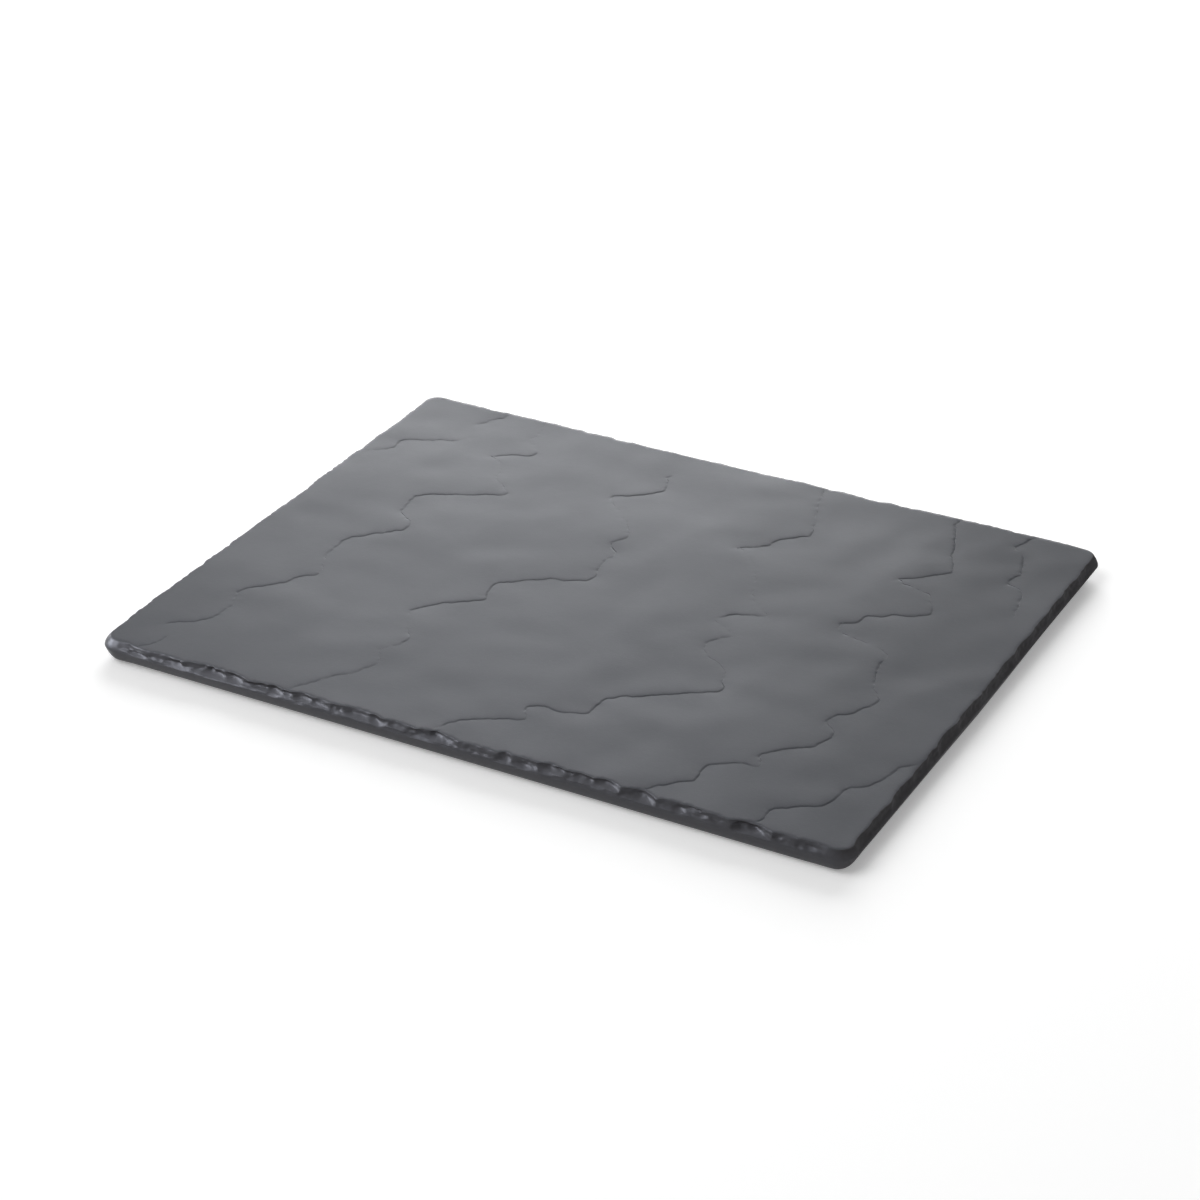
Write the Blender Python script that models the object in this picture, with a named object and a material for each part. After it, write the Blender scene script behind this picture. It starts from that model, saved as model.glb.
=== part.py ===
"""Rectangular slate-look serving platter on four stick-on rubber feet.

Metres, +Z up. The origin lies on the table under the middle of the platter. +X runs along the long
side and -Y points to the front.
"""
import math

import bmesh
import bpy
import numpy as np
from mathutils import Vector
from mathutils.geometry import delaunay_2d_cdt
from mathutils.kdtree import KDTree

for old in list(bpy.data.objects):
    bpy.data.objects.remove(old, do_unlink=True)

# Slab, measured at its widest line
LENGTH = 0.280
WIDTH = 0.220
THICKNESS = 0.0092
CORNER_RADIUS = 0.0062

# Wall of the slab: it flares to the widest line and tucks in again to the base
WIDEST_DEPTH = 0.0036
TOP_SET_BACK = 0.0011
BACK_TOP_SET_BACK = 0.0006
FLARE_POWER = 2.4
TUCK_SLOPE = 0.0022
TUCK_ROUNDING = 0.0017
TUCK_POWER = 3.0
RIM_ROUNDING = 0.0004
CHIP_REACH = 0.0034
CHIP_DEPTH = 0.001

# Riven top: each cleft drops to a lower plate, which rises again towards the next cleft
CLEFT_DROP = 0.0002
CLEFT_FACE = 0.0005
CLEFT_RISE = 0.008
RIM_ROLL_DEPTH = 0.0001
RIM_ROLL_WIDTH = 0.005
SWELL_HEIGHT = 0.00012
SWELL_LENGTH = 0.095
BEND_BIAS = 0.001

# Feet in their seats, each held by a disc of tape
FOOT_DIAMETER = 0.014
FOOT_INSET = 0.025
FOOT_STAND = 0.0005
FOOT_TAPER = 0.0003
FOOT_ROUNDING = 0.0003
SEAT_DEPTH = 0.0018
SEAT_CLEARANCE = 0.0003
TAPE_THICKNESS = 0.0005
TAPE_MARGIN = 0.0008
JOINT_GAP = 0.0003

# Fineness of the mesh: rows of the wall are shares of the way to the widest line and on to the base
STATION_STEP = 0.0038
CORNER_STEPS = 8
ROWS_TO_WIDEST = (0.45, 0.74, 0.9, 1.0)
ROWS_TO_BASE = (0.5, 0.8, 0.95, 1.0)
CLEFT_STEP = 0.0033
GRID_STEP = 0.0095
GRID_MARGIN = 0.0038
RIM_MARGIN = 0.0023
ROUND_SIDES = 24
ROUNDING_STEPS = 3
SHARP_ANGLE = math.radians(20)
MERGE_DISTANCE = 1e-6

# The chips and clefts below are drawn on a sheet of this size, in millimetres from its middle
SHEET_LENGTH = 280.0
SHEET_WIDTH = 220.0

# Chips knapped out of the upper edge of each side: place along the side, share of CHIP_DEPTH, half width
FRONT_CHIPS = (
    (-127, 0.8, 5), (-112, 0.8, 7), (-92, 2.0, 13), (-70, 1.4, 8), (-53, 1.2, 9), (-36, 1.9, 8.5),
    (-20, 1.0, 6.5), (-6, 1.7, 8), (9, 0.4, 7), (25, 1.0, 8), (36, 1.6, 6), (46, 1.8, 6),
    (56, 2.0, 5.5), (67, 2.0, 7), (80, 1.2, 7), (93, 0.5, 6), (106, 1.8, 7.5), (118, 0.5, 4.5),
    (127, 0.7, 5),
)
RIGHT_CHIPS = (
    (-98, 1.1, 6), (-86, 0.9, 9), (-68, 1.1, 8.5), (-54, 0.7, 6), (-44, 0.6, 4.5), (-32, 1.2, 8.5),
    (-14, 0.6, 9.5), (6, 0.3, 6), (19, 1.0, 9), (34, 0.8, 8), (51, 0.6, 8), (66, 1.0, 8),
    (80, 1.0, 8), (94, 0.6, 7),
)
BACK_CHIPS = (
    (-124, 0.6, 9), (-110, 0.6, 7), (-98, 0.7, 6), (-88, 0.5, 5), (-77, 1.0, 6.5), (-66, 1.5, 7),
    (-55, 1.3, 7), (-42, 2.0, 9), (-24, 1.9, 12), (-3, 1.9, 11), (12, 1.8, 11), (31, 1.4, 9),
    (48, 2.0, 10), (62, 0.9, 6), (72, 0.7, 7), (86, 0.7, 9.5), (120, 0.3, 9),
)
LEFT_CHIPS = (
    (-94, 1.2, 9), (-84, 0.9, 7), (-72, 0.7, 6), (-63, 0.6, 5), (-54, 0.8, 6.5), (-43, 0.5, 4),
    (-36, 0.8, 5.5), (-22, 0.6, 9), (-6, 0.6, 7.5), (14, 1.4, 13), (38, 0.6, 11), (58, 0.5, 9),
    (80, 1.3, 12.5), (97, 0.5, 6),
)

# Clefts from the back to the front: place on the sheet and share of the full drop.
# The lower plate lies on the left hand of someone who walks along the line.
CLEFTS = {
    "back_corner": (
        (-104, 108, 0.5), (-108.5, 99.5, 0.6), (-111, 96.5, 0.5), (-111.5, 92, 0.0),
    ),
    "left_corner": (
        (-104, 87, 0.0), (-110.5, 80, 0.5), (-118.5, 76, 0.6), (-127, 72, 0.6), (-129.5, 70.5, 0.9),
        (-129, 63, 0.7), (-133, 58, 0.5), (-142, 54, 0.4),
    ),
    "left": (
        (-88, 112, 0.4), (-86, 97, 0.4), (-85, 90, 0.3), (-78, 86, 0.3), (-79, 82.5, 0.7),
        (-89, 76.5, 0.8), (-92, 73.5, 0.6), (-88, 71, 0.4), (-83, 65, 0.4), (-80, 57, 0.4),
        (-72, 50, 0.4), (-73, 47.5, 0.8), (-90, 39.5, 0.9), (-100, 32, 0.9), (-98.5, 18, 0.6),
        (-90.5, 12, 0.6), (-90.5, 6.5, 0.9), (-105, -8, 0.9), (-105, -23, 0.5), (-100, -33, 0.5),
        (-100, -37, 0.7), (-104.5, -40, 0.8), (-106, -47, 0.9), (-115, -56, 1.0), (-117, -61, 0.7),
        (-113.5, -68.5, 0.5), (-114, -79.5, 0.6), (-119, -85, 0.9), (-127, -89, 0.7), (-133, -94, 0.0),
    ),
    "left_front_corner": (
        (-123.5, -95.5, 0.0), (-120.5, -100.5, 0.7), (-125, -107.5, 0.7), (-129.5, -112.5, 0.5),
    ),
    "middle_left": (
        (-23, 98, 0.0), (-25.5, 90, 0.5), (-22.5, 85, 0.6), (-21.5, 79, 0.8), (-26.5, 72.5, 1.0),
        (-35.5, 66.5, 0.7), (-34, 62, 0.4), (-22, 50, 0.4), (-16, 40, 0.5), (-19, 33, 0.7),
        (-14, 26, 0.6), (-14.5, 15, 0.5), (-12, 8.5, 0.7), (-13.5, 4.5, 0.8), (-19.5, 1.5, 1.0),
        (-25, 0.5, 0.9), (-39, -10.5, 0.9), (-41, -15, 0.8), (-38, -23, 0.7), (-39, -25, 0.9),
        (-53.5, -37, 0.9), (-57.5, -43.5, 0.6), (-55, -49, 0.2), (-47.5, -59, 0.5), (-47, -64.5, 0.6),
        (-52, -71, 0.4), (-47, -79, 0.4), (-48, -83, 0.5), (-56.5, -95, 0.6), (-66.5, -111, 0.6),
    ),
    "middle_right": (
        (30, 112, 0.4), (33, 98.5, 0.5), (40.5, 76.5, 0.5), (42, 71.5, 0.8), (38, 69, 0.9), (33, 63, 0.8),
        (32, 58.5, 0.7), (22.5, 51, 0.8), (27, 49, 0.4), (38, 35.5, 0.4), (42, 22.5, 0.4), (53, 12, 0.4),
        (50, 10, 0.6), (42, 7, 0.8), (39, 0.5, 0.6), (49, -6, 0.4), (48, -7.5, 0.6), (44, -12.5, 0.7),
        (44, -20, 0.4), (57, -28.5, 0.4), (60.5, -37, 0.5), (61, -41, 0.8), (43.5, -53.5, 0.9),
        (38.5, -57.5, 1.0), (30, -63, 0.9), (30, -74, 0.8), (27, -76, 0.7), (20.5, -77.5, 0.9),
        (15.5, -76.5, 0.9), (10.5, -80, 0.8), (11, -84, 0.5), (13.5, -87, 0.7), (-1, -94.5, 0.9),
        (-8, -102, 0.7), (-10, -110, 0.3),
    ),
    "right": (
        (84, 112, 0.4), (85, 103.5, 0.4), (90, 90.5, 0.6), (92.5, 81.5, 0.6), (96.5, 72.5, 0.5),
        (98, 70, 0.8), (92.5, 65.5, 1.0), (83.5, 57, 0.9), (86, 54, 0.5), (96.5, 51, 0.5), (99, 46, 0.4),
        (102.5, 41.5, 0.6), (101.5, 37.5, 0.9), (89.5, 31, 0.9), (84, 26.5, 0.8), (83, 22, 0.9),
        (78, 19, 0.8), (80, 13.5, 0.5), (85, 11, 0.4), (97, 9, 0.4), (100.5, 4.5, 0.6), (101, -0.5, 0.7),
        (105.5, -15.5, 0.5), (109.5, -22, 0.6), (108.5, -27.5, 0.8), (106.5, -32, 0.9),
        (101.5, -37.5, 0.9), (100.5, -42.5, 0.6), (105.5, -47.5, 0.5), (106, -52.5, 0.8),
        (103.5, -58, 0.9), (97, -63.5, 1.0), (90.5, -70.5, 0.8), (93.5, -77, 0.5), (88, -78, 0.8),
        (78.5, -83.5, 0.9), (78.5, -94.5, 0.8), (70.5, -101.5, 1.0), (65.5, -107, 0.8), (64, -113, 0.6),
    ),
    "right_corner": (
        (116, 112.5, 0.7), (110, 98.5, 0.6), (116, 91.5, 0.6), (118.5, 81, 0.8), (118, 72, 0.7),
        (124, 69.5, 0.5), (127, 57.5, 0.6), (128, 50, 0.0),
    ),
    "front_corner": (
        (142.5, -46.5, 0.6), (132, -57, 0.7), (129.5, -70, 0.7), (122.5, -76, 0.8), (121.5, -86, 0.8),
        (118.5, -90, 0.9), (107, -98, 0.9), (107, -104.5, 0.7), (104.5, -112.5, 0.6),
    ),
}

# Heights that follow from the sizes
BASE_Z = FOOT_STAND
TOP_Z = BASE_Z + THICKNESS
SEAT_Z = BASE_Z + SEAT_DEPTH
TAPE_TOP_Z = SEAT_Z - JOINT_GAP
TAPE_BOTTOM_Z = TAPE_TOP_Z - TAPE_THICKNESS
FOOT_TOP_Z = TAPE_BOTTOM_Z - JOINT_GAP
FOOT_PLACES = {
    f"{depth}_{side}": (x_sign * (LENGTH / 2 - FOOT_INSET), y_sign * (WIDTH / 2 - FOOT_INSET))
    for depth, y_sign in (("front", -1), ("back", 1))
    for side, x_sign in (("left", -1), ("right", 1))
}


def sheet_to_slab(x, y):
    """A place drawn on the sheet, in metres on the slab."""
    return x * LENGTH / SHEET_LENGTH, y * WIDTH / SHEET_WIDTH


def inside_depth(x, y):
    """How far a place lies inside the widest line, seen from above."""
    over_x = abs(x) - (LENGTH / 2 - CORNER_RADIUS)
    over_y = abs(y) - (WIDTH / 2 - CORNER_RADIUS)
    outside = math.hypot(max(over_x, 0.0), max(over_y, 0.0))
    return CORNER_RADIUS - outside - min(max(over_x, over_y), 0.0)


def cleft_drop(x, y, line):
    """Drop of the lower plate at one place, beside one cleft."""
    place = np.array((x, y))
    starts = line[:-1, :2]
    runs = line[1:, :2] - starts
    share = ((place - starts) * runs).sum(axis=1) / (runs ** 2).sum(axis=1)
    share = share.clip(0.0, 1.0)
    offsets = place - starts - runs * share[:, None]
    distance = np.hypot(offsets[:, 0], offsets[:, 1])
    lengths = np.hypot(runs[:, 0], runs[:, 1])
    across = (runs[:, 0] * (y - starts[:, 1]) - runs[:, 1] * (x - starts[:, 0])) / lengths
    # At a bend two stretches are equally near, and the one that is crossed more squarely counts
    nearest = np.argmin(distance - BEND_BIAS * np.abs(across))
    if across[nearest] <= 0.0:
        return 0.0
    strength = line[nearest, 2] + share[nearest] * (line[nearest + 1, 2] - line[nearest, 2])
    beyond_face = max(distance[nearest] - CLEFT_FACE, 0.0)
    down_face = min(distance[nearest] / CLEFT_FACE, 1.0)
    return CLEFT_DROP * strength * down_face * math.exp(-beyond_face / CLEFT_RISE)


def top_height(x, y, lines):
    """Height of the riven top at one place."""
    roll = max(1.0 - inside_depth(x, y) / RIM_ROLL_WIDTH, 0.0)
    wave = 2 * math.pi / SWELL_LENGTH
    swell = SWELL_HEIGHT * math.sin(wave * x) * math.cos(wave * y)
    drop = sum(cleft_drop(x, y, line) for line in lines)
    return TOP_Z - SWELL_HEIGHT + swell - RIM_ROLL_DEPTH * roll ** 2 - drop


def chip_inset(along, stretch, depth, chips):
    """How far the deepest chip cuts in, at one place along a side and one depth below the top."""
    inset = 0.0
    for place, depth_share, half_width in chips:
        span = 1.0 - ((along - place * stretch) / (half_width * stretch)) ** 2
        if span <= 0.0:
            continue
        reach = CHIP_REACH * math.sqrt(span)
        hollow = max(1.0 - (depth / reach) ** FLARE_POWER, 0.0)
        inset = max(inset, CHIP_DEPTH * depth_share * span * hollow)
    return inset


def plain_inset(depth, normal):
    """Set-back of a wall that faces this way, at one depth below the top and with no chips."""
    if depth < WIDEST_DEPTH:
        set_back = TOP_SET_BACK + (BACK_TOP_SET_BACK - TOP_SET_BACK) * max(normal.y, 0.0)
        return set_back * (1.0 - (depth / WIDEST_DEPTH) ** FLARE_POWER)
    down = (depth - WIDEST_DEPTH) / (THICKNESS - WIDEST_DEPTH)
    return TUCK_SLOPE * down + TUCK_ROUNDING * (1.0 - math.sqrt(max(1.0 - down ** TUCK_POWER, 0.0)))


def wall_stations():
    """Places round the widest line: point, outward normal, place along the side, stretch, chips."""
    stations = []
    half = Vector((LENGTH / 2 - CORNER_RADIUS, WIDTH / 2 - CORNER_RADIUS))
    sides = (
        (Vector((0, -1)), Vector((1, 0)), LENGTH / SHEET_LENGTH, FRONT_CHIPS),
        (Vector((1, 0)), Vector((0, 1)), WIDTH / SHEET_WIDTH, RIGHT_CHIPS),
        (Vector((0, 1)), Vector((-1, 0)), LENGTH / SHEET_LENGTH, BACK_CHIPS),
        (Vector((-1, 0)), Vector((0, -1)), WIDTH / SHEET_WIDTH, LEFT_CHIPS),
    )
    for normal, heading, stretch, chips in sides:
        run = abs(heading.dot(half))
        distance = abs(normal.dot(half)) + CORNER_RADIUS
        count = max(round(2 * run / STATION_STEP), 2)
        for index in range(count):
            point = normal * distance + heading * run * (2 * index / count - 1)
            along = point.x if heading.x else point.y
            stations.append((point, normal, along, stretch, chips))
        corner = normal * (distance - CORNER_RADIUS) + heading * run
        for index in range(CORNER_STEPS):
            angle = math.pi / 2 * index / CORNER_STEPS
            outward = normal * math.cos(angle) + heading * math.sin(angle)
            stations.append((corner + outward * CORNER_RADIUS, outward, 0.0, stretch, ()))
    return stations


def wall_row(stations, depth, extra):
    """One ring of places round the wall, at a depth below the top."""
    ring = []
    for point, normal, along, stretch, chips in stations:
        inset = plain_inset(depth, normal) + chip_inset(along, stretch, depth, chips) + extra
        ring.append(point - normal * inset)
    return ring


def cleft_lines():
    """The clefts in metres on the slab, as arrays of place and strength."""
    lines = []
    for points in CLEFTS.values():
        lines.append(np.array([(*sheet_to_slab(x, y), share) for x, y, share in points]))
    return lines


def crest_and_foot(line):
    """Even steps along a cleft: the places on its crest, and those at the foot of its face."""
    crest = []
    foot = []
    for start, end in zip(line[:-1, :2], line[1:, :2]):
        run = Vector(end - start)
        count = max(round(run.length / CLEFT_STEP), 1)
        lower_side = Vector((-run.y, run.x)).normalized()
        for index in range(count):
            place = Vector(start) + run * ((index + 0.5) / count)
            crest.append(place)
            foot.append(place + lower_side * CLEFT_FACE)
    return crest, foot


def top_layout(outline, lines):
    """Places and fixed edges that the riven top is stretched over."""
    rim_margin = TOP_SET_BACK + RIM_ROUNDING + RIM_MARGIN
    places = list(outline)
    edges = []
    for line in lines:
        for path in crest_and_foot(line):
            previous = None
            for place in path:
                if inside_depth(place.x, place.y) < rim_margin:
                    previous = None
                    continue
                places.append(place)
                if previous is not None:
                    edges.append((previous, len(places) - 1))
                previous = len(places) - 1
    taken = KDTree(len(places))
    for index, place in enumerate(places):
        taken.insert((place.x, place.y, 0.0), index)
    taken.balance()
    columns = math.ceil(LENGTH / GRID_STEP)
    rows = math.ceil(WIDTH / GRID_STEP)
    for row in range(rows):
        for column in range(columns):
            x = (column + 0.25 + 0.5 * (row % 2)) / columns * LENGTH - LENGTH / 2
            y = (row + 0.5) / rows * WIDTH - WIDTH / 2
            nearest = taken.find((x, y, 0.0))[2]
            if nearest > GRID_MARGIN and inside_depth(x, y) > rim_margin:
                places.append(Vector((x, y)))
    return places, edges


def finish(mesh_data, name, material):
    """Turn a bmesh into an object with its faces outward and its round parts shaded smooth."""
    bmesh.ops.recalc_face_normals(mesh_data, faces=mesh_data.faces)
    mesh = bpy.data.meshes.new(name)
    mesh_data.to_mesh(mesh)
    mesh_data.free()
    mesh.materials.append(material)
    mesh.shade_smooth()
    mesh.set_sharp_from_angle(angle=SHARP_ANGLE)
    part = bpy.data.objects.new(name, mesh)
    bpy.context.collection.objects.link(part)
    return part


def plain_material(name, colour, roughness):
    material = bpy.data.materials.new(name)
    material.use_nodes = True
    shader = material.node_tree.nodes["Principled BSDF"]
    shader.inputs["Base Color"].default_value = (*colour, 1.0)
    shader.inputs["Roughness"].default_value = roughness
    shader.inputs["Metallic"].default_value = 0.0
    material.diffuse_color = (*colour, 1.0)
    return material


def turned(name, profile, material):
    """A round piece, turned about Z from a profile of radius and height."""
    shape = bmesh.new()
    verts = [shape.verts.new((radius, 0.0, height)) for radius, height in profile]
    edges = [shape.edges.new(pair) for pair in zip(verts[:-1], verts[1:])]
    bmesh.ops.spin(
        shape, geom=verts + edges, cent=(0, 0, 0), axis=(0, 0, 1), angle=2 * math.pi,
        steps=ROUND_SIDES, use_merge=True,
    )
    bmesh.ops.remove_doubles(shape, verts=shape.verts, dist=MERGE_DISTANCE)
    return finish(shape, name, material)


def riven_slab(material):
    """The slab: riven top, chipped wall and flat base."""
    lines = cleft_lines()
    stations = wall_stations()
    outline = wall_row(stations, 0.0, RIM_ROUNDING)
    places, edges = top_layout(outline, lines)
    loop = list(range(len(outline)))
    flat, _, faces, sources, _, _ = delaunay_2d_cdt(places, edges, [loop], 1, MERGE_DISTANCE)
    slab = bmesh.new()
    top = [slab.verts.new((place.x, place.y, top_height(place.x, place.y, lines))) for place in flat]
    for face in faces:
        slab.faces.new([top[index] for index in face])
    at_outline = {source: top[index] for index, found in enumerate(sources) for source in found}
    ring = [at_outline[index] for index in loop]
    rim_heights = [vert.co.z for vert in ring]
    to_widest = [share * WIDEST_DEPTH for share in ROWS_TO_WIDEST]
    to_base = [WIDEST_DEPTH + share * (THICKNESS - WIDEST_DEPTH) for share in ROWS_TO_BASE]
    for depth in (RIM_ROUNDING, *to_widest, *to_base):
        below = []
        for place, rim in zip(wall_row(stations, depth, 0.0), rim_heights):
            below.append(slab.verts.new((place.x, place.y, rim - depth / THICKNESS * (rim - BASE_Z))))
        for index in range(len(ring)):
            quad = (ring[index - 1], ring[index], below[index], below[index - 1])
            slab.faces.new(quad)
        ring = below
    slab.faces.new(ring)
    bmesh.ops.triangulate(slab, faces=slab.faces)
    return finish(slab, "platter_slab", material)


def seat_cutter():
    """Plugs of the four seats that are sunk into the base, for the slab's Boolean."""
    plugs = bmesh.new()
    radius = FOOT_DIAMETER / 2 + SEAT_CLEARANCE
    for x, y in FOOT_PLACES.values():
        plug = bmesh.ops.create_cone(
            plugs, cap_ends=True, segments=ROUND_SIDES, radius1=radius, radius2=radius,
            depth=2 * SEAT_DEPTH,
        )
        bmesh.ops.translate(plugs, verts=plug["verts"], vec=(x, y, BASE_Z))
    mesh = bpy.data.meshes.new("seat_plugs")
    plugs.to_mesh(mesh)
    plugs.free()
    cutter = bpy.data.objects.new("seat_plugs", mesh)
    cutter.hide_render = True
    cutter.display_type = "WIRE"
    bpy.context.collection.objects.link(cutter)
    return cutter


def foot_profile():
    """Half outline of a foot: straight in its seat, tapered below the base, rounded at the tread."""
    radius = FOOT_DIAMETER / 2
    tread = radius - FOOT_TAPER - FOOT_ROUNDING
    profile = [(0.0, FOOT_TOP_Z), (radius, FOOT_TOP_Z), (radius, BASE_Z)]
    for step in range(ROUNDING_STEPS + 1):
        angle = math.pi / 2 * step / ROUNDING_STEPS
        outward = tread + FOOT_ROUNDING * math.cos(angle)
        profile.append((outward, FOOT_ROUNDING * (1.0 - math.sin(angle))))
    profile.append((0.0, 0.0))
    return profile


def tape_profile():
    """Half outline of a tape disc, a little smaller than its foot."""
    radius = FOOT_DIAMETER / 2 - TAPE_MARGIN
    return (0.0, TAPE_TOP_Z), (radius, TAPE_TOP_Z), (radius, TAPE_BOTTOM_Z), (0.0, TAPE_BOTTOM_Z)


slab = riven_slab(plain_material("slate_grey_ceramic", (0.036, 0.038, 0.042), 0.4))
seats = slab.modifiers.new("foot seats", "BOOLEAN")
seats.object = seat_cutter()
seats.operation = "DIFFERENCE"
seats.solver = "EXACT"

foot_rubber = plain_material("foot_rubber", (0.025, 0.025, 0.027), 0.75)
foam_tape = plain_material("foam_tape", (0.60, 0.59, 0.55), 0.60)
for corner, (x, y) in FOOT_PLACES.items():
    foot = turned(f"foot_{corner}", foot_profile(), foot_rubber)
    tape = turned(f"foot_tape_{corner}", tape_profile(), foam_tape)
    for piece in (foot, tape):
        piece.location = (x, y, 0.0)
        piece.parent = slab
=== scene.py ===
import math
import random

import bmesh
import bpy
import numpy as np
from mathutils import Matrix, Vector, noise
from mathutils.geometry import delaunay_2d_cdt
from mathutils.kdtree import KDTree


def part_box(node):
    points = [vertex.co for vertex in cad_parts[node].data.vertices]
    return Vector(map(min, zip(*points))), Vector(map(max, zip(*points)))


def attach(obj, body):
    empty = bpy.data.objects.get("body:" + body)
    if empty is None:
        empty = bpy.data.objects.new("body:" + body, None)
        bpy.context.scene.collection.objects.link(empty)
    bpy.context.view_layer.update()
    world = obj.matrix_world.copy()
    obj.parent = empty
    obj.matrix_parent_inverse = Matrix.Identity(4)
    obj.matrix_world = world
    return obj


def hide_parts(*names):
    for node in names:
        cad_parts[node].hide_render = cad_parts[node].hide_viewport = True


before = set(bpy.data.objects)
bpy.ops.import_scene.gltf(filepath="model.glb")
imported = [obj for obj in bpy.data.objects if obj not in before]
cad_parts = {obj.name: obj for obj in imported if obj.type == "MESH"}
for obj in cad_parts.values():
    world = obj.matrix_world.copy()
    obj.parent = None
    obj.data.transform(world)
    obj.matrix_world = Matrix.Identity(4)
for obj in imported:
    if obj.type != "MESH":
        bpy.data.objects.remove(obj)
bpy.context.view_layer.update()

# Platter slab: one moulded stoneware slab, fired to a satin charcoal with a slate grain.
# Its top is riven into overlapping plates and its upper edge is knapped like split slate.
# The wall tucks in to a flat base, where four shallow seats take the feet.
slab_low, slab_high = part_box("platter_slab")
half_length = slab_high.x
half_width = slab_high.y
base_z = slab_low.z
top_z = slab_high.z
slab_thickness = top_z - base_z
MM = 0.001

# The wall in section: it leans out from the rim to its widest line and tucks in again below
corner_radius = 0.0062
widest_depth = 0.0036
top_set_back = 0.0011
tuck_straight = 0.0022
tuck_rounding = 0.0017
rim_rounding = 0.00035
chip_reach = 0.0032

# A cleft in section: a face with a notch at its foot, then a slow rise to the next plate
cleft_roll = 0.00011
cleft_face = 0.0009
cleft_notch = 0.00015
cleft_bottom = 0.00085
cleft_rise = 0.0045
cleft_step = 0.0006
cleft_guard = 0.0003

# Chips along the upper edge of each side, in mm: place, depth, half width
chips_by_side = {
    "front": (
        (-127, 0.8, 5), (-112, 0.8, 7), (-92, 2.0, 13), (-70, 1.4, 8), (-53, 1.2, 9), (-36, 1.9, 8.5),
        (-20, 1.0, 6.5), (-6, 1.7, 8), (9, 0.4, 7), (25, 1.0, 8), (36, 1.6, 6), (46, 1.8, 6),
        (56, 2.0, 5.5), (67, 2.0, 7), (80, 1.2, 7), (93, 0.5, 6), (106, 1.8, 7.5), (118, 0.5, 4.5),
        (127, 0.7, 5),
    ),
    "right": (
        (-98, 1.1, 6), (-86, 0.9, 9), (-68, 1.1, 8.5), (-54, 0.7, 6), (-44, 0.6, 4.5), (-32, 1.2, 8.5),
        (-14, 0.6, 9.5), (6, 0.3, 6), (19, 1.0, 9), (34, 0.8, 8), (51, 0.6, 8), (66, 1.0, 8),
        (80, 1.0, 8), (94, 0.6, 7),
    ),
    "back": (
        (-124, 0.6, 9), (-110, 0.6, 7), (-98, 0.7, 6), (-88, 0.5, 5), (-77, 1.0, 6.5), (-66, 1.5, 7),
        (-55, 1.3, 7), (-42, 2.0, 9), (-24, 1.9, 12), (-3, 1.9, 11), (12, 1.8, 11), (31, 1.4, 9),
        (48, 2.0, 10), (62, 0.9, 6), (72, 0.7, 7), (86, 0.7, 9.5), (120, 0.3, 9),
    ),
    "left": (
        (-94, 1.2, 9), (-84, 0.9, 7), (-72, 0.7, 6), (-63, 0.6, 5), (-54, 0.8, 6.5), (-43, 0.5, 4),
        (-36, 0.8, 5.5), (-22, 0.6, 9), (-6, 0.6, 7.5), (14, 1.4, 13), (38, 0.6, 11), (58, 0.5, 9),
        (80, 1.3, 12.5), (97, 0.5, 6),
    ),
}

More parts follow.
